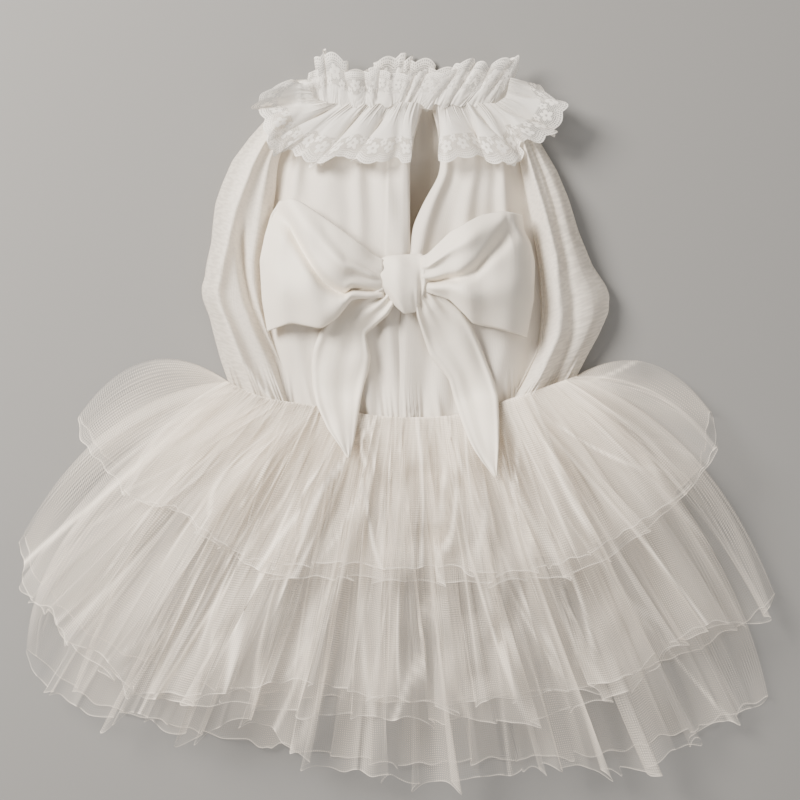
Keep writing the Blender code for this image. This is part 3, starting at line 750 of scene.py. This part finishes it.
sleeveRight = {
    "outer": [(573, 386), (590, 353), (600, 335), (610, 312), (611, 294), (607, 284), (594, 265), (580, 231), (570, 198),
              (558, 169), (548, 152), (536, 132), (520, 114), (510, 107)],
    "inner": [(502, 411), (521, 384), (540, 345), (543, 310), (540, 270), (536, 240), (528, 200), (522, 168), (514, 130), (503, 108)],
    "folds": [
        {"path": [(0.36, 0.0), (0.26, 0.16), (0.24, 0.35), (0.34, 0.50), (0.28, 0.75), (0.32, 1.0)], "width": 0.12, "height": 0.0044},
        {"path": [(0.02, 0.0), (0.04, 0.2), (0.03, 0.45), (0.04, 0.6)], "width": 0.06, "height": -0.0050},
        {"path": [(0.72, 0.0), (0.54, 0.14), (0.45, 0.30), (0.54, 0.46), (0.60, 0.65), (0.62, 0.95)], "width": 0.07, "height": -0.0020},
        {"path": [(0.78, 0.1), (0.72, 0.35), (0.78, 0.7)], "width": 0.13, "height": 0.0014},
    ],
    "flat": (0.070, 0.155), "loft": 0.0125,
}


def laySleeve(name, spec, side):
    turn, up = shares(200, 150)
    angle = 2 * math.pi * turn
    across = 0.5 - 0.5 * np.cos(angle)  # 0 at the bodice, 1 at the outer fold
    inner, outer = walk(fromPhoto(spec["inner"]), up[:, 0], 0.02), walk(fromPhoto(spec["outer"]), up[:, 0], 0.008)
    x = mix(inner[:, :1], outer[:, :1], across)
    y = mix(inner[:, 1:], outer[:, 1:], across)
    top = ease(0, 1, 0.5 + 4 * np.sin(angle))  # 1 over the sleeve, 0 under it
    round_ = np.abs(np.sin(angle)) ** 0.75
    outward = across if side > 0 else 1 - across
    loft = spec["loft"] * mix(0.55, 1, ease(0, 0.3, up)) * (1 - 0.5 * ease(0.6, 1, up))
    shape = follow(spec["folds"], outward, up)
    gather = (1 - ease(0, 0.16, up)) * 0.0010 * np.sin(2 * math.pi * (9 * across + 0.6 * noise(across, up, 57, 4, 3, 1)))
    gather = gather + 0.0006 * noise(across, up, 51 + side, 6, 1.3, 1.4)
    above = 0.0016 + loft * round_ + (shape + gather) * ease(0.15, 0.7, round_)
    below = 0.0012 - 0.0008 * round_ + 0.0003 * (1 + noise(across, up, 55 + side, 5, 4, 2)) * round_
    z = np.maximum(mix(below, above, top), 0.0004)
    over = top[0] > 0.9
    pressOn(upper, x[:, over], y[:, over], z[:, over])
    bunched = np.clip(ease(0.75, 0.15, outward) if side > 0 else ease(0.12, 0.42, outward), 0, 1)
    piece = layCloth(name + "_cloth", x, y, z, sleeveCloth, "chiffon", ring=True, folds=bunched)
    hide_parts(name)


laySleeve("sleeve_left", sleeveLeft, -1)
laySleeve("sleeve_right", sleeveRight, 1)
print("sleeves laid")


# neck: lace gathered on elastic, with a frill that stands up and one that falls
neck = {"left": 306, "right": 506, "line": 103, "round": 3.0, "high": 0.0115}
upperFrill = {
    "front": [(306, 74), (316, 66), (320, 52), (325, 48), (334, 55), (342, 63), (355, 74), (362, 72), (376, 70), (392, 72),
              (410, 74), (430, 74), (450, 72), (461, 66), (466, 60), (483, 62), (487, 70), (497, 67), (503, 59), (513, 58),
              (520, 53), (518, 66), (514, 80)],
    "rear": [(308, 78), (324, 70), (342, 66), (360, 66), (374, 66), (379, 56), (393, 50), (404, 52), (416, 55), (427, 57),
             (441, 64), (455, 66), (463, 68), (480, 66), (496, 68), (508, 66), (514, 80)],
    "waves": 12, "flat": (0.24, 0.028),
}
fallLeft = {
    "start": [(309, 80), (312, 97), (330, 104), (360, 103), (392, 103), (421, 104)],
    "hem": [(291, 80), (268, 92), (252, 107), (258, 113), (262, 122), (266, 138), (272, 158), (284, 154), (303, 162), (320, 166), (337, 160), (351, 163),
            (371, 167), (388, 163), (404, 165), (409, 160)],
    "waves": 5.2, "curl": 0.018, "high": 0.0092, "flat": (0.115, 0.034),
}
fallRight = {
    "start": [(435, 104), (455, 103), (475, 103), (495, 104), (506, 97), (510, 78)],
    "hem": [(441, 161), (450, 164), (463, 161), (480, 159), (489, 165), (506, 167), (522, 159), (529, 143), (542, 144), (556, 134),
            (561, 123), (566, 113), (556, 100), (540, 86)],
    "waves": 4.4, "curl": 0.018, "high": 0.0092, "flat": (0.10, 0.034),
}
fallBack = {
    "start": [(306, 106), (360, 107), (410, 107), (460, 107), (506, 106)],
    "hem": [(290, 140), (330, 152), (370, 156), (410, 155), (450, 157), (490, 150), (526, 140)],
    "flat": (0.11, 0.026),
}


def layUpperFrill(spec):
    columns, rows = 260, 18
    across, up = shares(columns, rows)
    wave = 2 * math.pi * (spec["waves"] * across + 0.35 * noise(across, 0, 61, 5, 5))
    x0 = fromPhoto((mix(neck["left"], neck["right"], 0), 0))[0]
    x1 = fromPhoto((neck["right"], 0))[0]
    sheets = []
    for key, high, phase in (("front", 1, 0.0), ("rear", 0, 1.9)):
        hem = walk(fromPhoto(spec[key]), across[0], 0.004)
        level = fromPhoto((0, neck["line"] + 4))[1] + 0.0012 * noise(across[0], 0, 64, 6, 9)
        start = np.stack([mix(x0, x1, across[0]), level], -1)
        tip = 0.0006 * np.sin(wave[0] + phase)
        reach = 0.0030 * (1 + 0.7 * noise(across, 0, 65, 5, 6)) * ease(0.1, 1, up) * np.sin(math.pi * across) ** 0.3
        x = mix(start[:, 0], hem[:, 0], up) + reach * np.sin(wave + phase)
        y = mix(start[:, 1], hem[:, 1] + tip, up)
        dome = np.sqrt(np.clip(1 - np.abs(2 * across - 1) ** neck["round"], 0, 1))
        fold = (0.5 + 0.5 * np.cos(wave + phase)) * mix(0.0006, 0.0042, ease(0, 1, up))
        fold = fold + 0.0005 * (1 - ease(0, 0.5, up)) * np.sin(2 * math.pi * (37 * across + 3 * noise(across, up, 63, 4, 6, 0.3)))
        z = 0.0044 + high * neck["high"] * dome + fold * mix(0.4, 1, high) - (1 - high) * 0.0030 * ease(0, 0.5, up)
        sheets.append([x, y, z])
    rear = [part[:, ::-1] for part in sheets[1]]
    piece = layCloth("upper_frill_lace", *closeRing(sheets[0], rear), laceCloth, "lace", ring=True)
    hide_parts("upper_frill")


def layFall(name, spec, back=False):
    across, down = shares(300, 26)
    start = walk(fromPhoto(spec["start"]), across[0], 0.02)
    hem = walk(fromPhoto(spec["hem"]), across[0], 0.004)
    x, y = mix(start[:, 0], hem[:, 0], down), mix(start[:, 1], hem[:, 1], down)
    if back:
        z = 0.0005 + 0.0006 * (1 + np.sin(2 * math.pi * 12 * across)) * ease(0, 1, down)
    else:
        wave = 2 * math.pi * (spec["waves"] * across + 0.25 * noise(across, 0, 71, 5, 4))
        way = np.gradient(hem, axis=0)
        way = way / np.linalg.norm(way, axis=1)[:, None]  # each fold leans along the hem, not across it
        curl = spec["curl"] * 0.35 * np.sin(wave) * ease(0.1, 1, down) * ease(0, 0.06, across) * (1 - ease(0.94, 1, across))
        x, y = x - curl * way[:, 0], y - curl * way[:, 1]
        floorZ = softMap(fillMap(np.where(upper > 0, upper, -1), 10), 3)
        under = readMap(floorZ, x, y)
        body = softLine(under, 0.02)
        fold = (0.5 - 0.5 * np.cos(wave)) ** 0.8 * spec["high"] * ease(-0.25, 0.9, down)
        fine = 0.0005 * np.sin(2 * math.pi * (20 * across + 2 * noise(across, down, 73, 4, 5, 0.4))) * (1 - ease(0, 0.5, down))
        z = np.maximum(body, 0.010) + 0.0012 + fold + fine + 0.0026 * (1 - ease(0, 0.6, down))
        pressOn(upper, x, y, z)
    piece = layCloth(name + "_lace", x, y, z, laceCloth, "lace")
    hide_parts(name)


def layBand():
    turn, up = shares(320, 8)
    angle = 2 * math.pi * turn
    middle, half = fromPhoto(((neck["left"] + neck["right"]) / 2, neck["line"])), 0.5 * (neck["right"] - neck["left"]) * photo["scale"]
    x = middle[0] - half * np.cos(angle)
    crimp = np.sin(2 * math.pi * 60 * turn)
    y = middle[1] + mix(-0.0032, 0.0034, up) + 0.0003 * np.sin(2 * math.pi * 23 * turn)
    top = np.sin(angle)
    z = 0.0034 + (neck["high"] - 0.0018) * np.where(top > 0, np.abs(top) ** 0.55, 0) - 0.0012 * np.where(top < 0, np.abs(top) ** 0.5, 0)
    z = z + 0.0005 * crimp + 0.0006 * np.sin(math.pi * up)
    piece = layCloth("neck_elastic_cloth", x, y, z, bodiceCloth, "lace", ring=True)
    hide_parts("neck_elastic")


layBand()
layUpperFrill(upperFrill)
layFall("lower_frill_back", fallBack, back=True)
layFall("lower_frill_left", fallLeft)
layFall("lower_frill_right", fallRight)
print("neck frills laid")


# bow: two folded loops, a knot and two tails
loopLeft = {
    "top": [(384, 262), (374, 257), (340, 231), (303, 205), (292, 200), (280, 202)],
    "bottom": [(384, 298), (352, 300), (338, 318), (322, 329), (292, 323), (268, 331)],
    "end": [(268, 331), (263, 300), (261, 261), (266, 236), (272, 214), (280, 202)],
    "loft": 0.0125, "seed": 81, "flat": (0.12, 0.06),
    "folds": [
        {"path": [(0.08, 0.16), (0.33, 0.20), (0.60, 0.48), (0.85, 0.80), (0.97, 0.90)], "width": 0.10, "height": -0.0072},
        {"path": [(0.05, 0.50), (0.35, 0.58), (0.60, 0.80), (0.95, 0.97)], "width": 0.14, "height": 0.0030},
        {"path": [(0.40, 0.05), (0.70, 0.25), (1.00, 0.40)], "width": 0.20, "height": 0.0024},
    ],
}
loopRight = {
    "top": [(421, 258), (427, 256), (449, 234), (480, 217), (500, 213), (522, 215)],
    "bottom": [(421, 292), (449, 301), (472, 324), (492, 328), (508, 332), (527, 337)],
    "end": [(527, 337), (534, 300), (535, 262), (531, 244), (524, 230), (522, 215)],
    "loft": 0.0125, "seed": 82, "flat": (0.12, 0.06),
    "folds": [
        {"path": [(0.12, 0.30), (0.35, 0.38), (0.55, 0.52), (0.85, 0.84)], "width": 0.10, "height": -0.0048},
        {"path": [(0.05, 0.66), (0.45, 0.80), (0.90, 0.95)], "width": 0.13, "height": 0.0024},
        {"path": [(0.10, 0.14), (0.50, 0.24), (0.95, 0.40)], "width": 0.18, "height": 0.0026},
    ],
}
tailLeft = {
    "outer": [(378, 280), (362, 287), (348, 296), (332, 314), (320, 332), (313, 350), (311, 366), (312, 387), (317, 405), (328, 428),
              (340, 444), (349, 456)],
    "inner": [(394, 306), (388, 316), (376, 326), (366, 334), (368, 345), (371, 358), (369, 370), (365, 382), (361, 400), (358, 420),
              (355, 440), (351, 455)],
    "ridge": 0.12, "flat": (0.026, 0.092), "seed": 91,
}
tailRight = {
    "outer": [(426, 284), (438, 290), (449, 300), (462, 312), (472, 326), (480, 344), (486, 360), (493, 378), (498, 395), (498, 420),
              (497, 445), (494, 475)],
    "inner": [(414, 300), (417, 318), (423, 336), (430, 357), (440, 368), (449, 380), (454, 400), (461, 422), (467, 438), (473, 450),
              (482, 463), (492, 474)],
    "ridge": 0.10, "flat": (0.024, 0.102), "seed": 92,
}
knot = {
    "top": [(376, 262), (388, 257), (404, 256), (420, 255), (428, 258)],
    "bottom": [(386, 296), (396, 308), (404, 315), (416, 313), (426, 292)],
    "left": [(386, 296), (378, 284), (375, 272), (376, 262)],
    "right": [(426, 292), (430, 280), (430, 268), (428, 258)],
    "high": 0.0095, "fill": 0.5,
}


def bowBase(x, y):
    floorZ = softMap(fillMap(np.where(upper > 0, upper, -1), 6), 2)
    return readMap(floorZ, x, y)


def layLoop(name, spec):
    # one band: out along the front, round the end fold and back underneath
    round_, up = shares(220, 96)
    angle = math.pi * round_
    out = np.sin(angle) ** 0.85
    front = 0.5 + 0.5 * np.cos(angle)  # 1 at the knot on top, 0 at the knot below
    top, bottom = walk(fromPhoto(spec["top"]), out.ravel(), 0.02), walk(fromPhoto(spec["bottom"]), out.ravel(), 0.02)
    end = walk(fromPhoto(spec["end"]), up.ravel(), 0.015)
    t = up.reshape(-1, 1)
    place = bottom * (1 - t) + top * t
    straight = fromPhoto(spec["end"])[0] * (1 - t) + fromPhoto(spec["end"])[-1] * t
    place = place + (end - straight) * out.reshape(-1, 1) ** 3
    x, y = place[:, 0].reshape(out.shape), place[:, 1].reshape(out.shape)
    under = bowBase(x, y)
    folds = sum(
        fold["height"] * bump(up, np.interp(out, [p[0] for p in fold["path"]], [p[1] for p in fold["path"]]), fold["width"] * (0.4 + 0.6 * out))
        * ease(0, 0.12, out) * (1 - ease(fold["path"][-1][0], fold["path"][-1][0] + 0.12, out))
        for fold in spec["folds"]
    )
    swell = np.sin(math.pi * np.clip(out * 0.88 + 0.06, 0, 1)) ** 0.7 * (0.60 + 0.40 * np.sin(math.pi * up) ** 0.6)
    creases = 0.0006 * (1 - ease(0.0, 0.30, out)) * np.sin(2 * math.pi * (2.6 * up + 0.3))
    wrinkle = 0.0004 * noise(out, up, spec["seed"], 6, 1.6, 1.8)
    above = 0.0026 + spec["loft"] * swell + folds + creases + wrinkle
    below = 0.0010 + 0.0006 * np.abs(np.sin(math.pi * out))
    z = under + mix(below, above, ease(0.30, 0.70, front))
    pressOn(bowPile, x, y, z)
    piece = layCloth(name + "_cloth", x, y, z, bowCloth, "satin", thick=0.0005)
    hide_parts(name)


def layTail(name, spec):
    across, down = shares(60, 150)
    outer, inner = walk(fromPhoto(spec["outer"]), down[:, 0], 0.012), walk(fromPhoto(spec["inner"]), down[:, 0], 0.012)
    x, y = mix(outer[:, :1], inner[:, :1], across), mix(outer[:, 1:], inner[:, 1:], across)
    field = softMap(np.maximum(fillMap(np.where(upper > 0, upper, -1), 6), pile), 2)
    under = readMap(field, x, y)
    under = softLine(under, 0.03)
    crown = 0.0026 * np.sin(math.pi * across) ** 0.8
    roll = 0.0014 * bump(across, 0.06, 0.07) + 0.0010 * bump(across, 0.95, 0.06)
    valley = -0.0016 * bump(across, 0.45 + 0.15 * np.sin(2.4 * down), 0.16) * ease(0.15, 0.4, down) * (1 - ease(0.7, 0.95, down))
    gather = 0.0010 * np.sin(2 * math.pi * 3.5 * across) * (1 - ease(0, 0.25, down))
    z = under + 0.0018 + (crown + roll + valley) * ease(0, 0.12, down) * (1 - 0.5 * ease(0.8, 1, down)) + gather
    z = z + 0.0040 * (1 - ease(0, 0.30, down)) + 0.0004 * noise(across, down, spec["seed"], 6, 1.5, 3)
    piece = layCloth(name + "_cloth", x, y, z, bowCloth, "satin", thick=0.0006)
    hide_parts(name)


def layKnot(spec):
    across, up = shares(70, 70)
    x, y = patch(spec["bottom"], spec["top"], spec["left"], spec["right"], across, up)
    base = float(readMap(softMap(bowPile, 3), *fromPhoto((403, 285))))
    round_ = np.clip(np.sin(math.pi * (0.02 + 0.96 * across)) ** 0.24 * np.sin(math.pi * (0.06 + 0.88 * up)) ** 0.4, 0, 1)
    folds = (0.0016 * bump(across, 0.34 + 0.10 * up, 0.14) - 0.0020 * bump(across, 0.76 + 0.05 * up, 0.05) * (1 - ease(0.2, 0.8, up))
             + 0.0014 * bump(across, 0.88, 0.06) - 0.0010 * bump(across, 0.62, 0.04) * (1 - ease(0.1, 0.5, up)))
    z = base - 0.0006 + spec["high"] * round_ + folds * round_ + 0.0003 * noise(across, up, 95, 5, 2, 2)
    piece = layCloth("bow_knot_cloth", x, y, z, bowCloth, "satin", thick=0.0010)
    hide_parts("bow_knot")


bowPile = upper.copy()
layTail("bow_tail_left", tailLeft)
layTail("bow_tail_right", tailRight)
layLoop("bow_loop_left", loopLeft)
layLoop("bow_loop_right", loopRight)
layKnot(knot)
print("bow tied")


# floor, light and camera
studio = {"floor": (0.235, 0.231, 0.225), "world": 0.32, "key": 52.0, "fill": 6.0, "eye": 1.30}

ground = bmesh.new()
bmesh.ops.create_grid(ground, x_segments=1, y_segments=1, size=3.0)
groundData = bpy.data.meshes.new("floor")
ground.to_mesh(groundData)
ground.free()
floor = bpy.data.objects.new("floor", groundData)
bpy.context.scene.collection.objects.link(floor)
paper = Finish("floor paper")
groundData.materials.append(paper.surface(
    paper.node("BsdfPrincipled", {}, {"Base Color": (*studio["floor"], 1), "Roughness": 0.9})))

world = bpy.data.worlds.new("studio")
bpy.context.scene.world = world
world.use_nodes = True
world.node_tree.nodes["Background"].inputs["Color"].default_value = (1.0, 1.0, 1.0, 1)
world.node_tree.nodes["Background"].inputs["Strength"].default_value = studio["world"]


def softBox(name, place, size, power, colour):
    lamp = bpy.data.lights.new(name, "AREA")
    lamp.shape = "DISK"
    lamp.size = size
    lamp.energy = power
    lamp.color = colour
    holder = bpy.data.objects.new(name, lamp)
    holder.location = place
    holder.rotation_euler = (-Vector(place)).to_track_quat("-Z", "Y").to_euler()
    bpy.context.scene.collection.objects.link(holder)


softBox("key light", (-0.85, 0.62, 0.80), 0.6, studio["key"], (1.0, 0.95, 0.88))
softBox("fill light", (0.9, -0.5, 1.1), 1.0, studio["fill"], (1.0, 0.98, 0.96))

lens = bpy.data.cameras.new("camera")
camera = bpy.data.objects.new("camera", lens)
bpy.context.scene.collection.objects.link(camera)
centre = fromPhoto((400, 400))
camera.location = (centre[0], centre[1], studio["eye"])
lens.sensor_width = 36.0
lens.lens = 36.0 * (studio["eye"] - 0.012) / (800 * photo["scale"])
bpy.context.scene.camera = camera
bpy.context.scene.cycles.transparent_max_bounces = 64  # light has to pass every layer of net

print("scene ready")
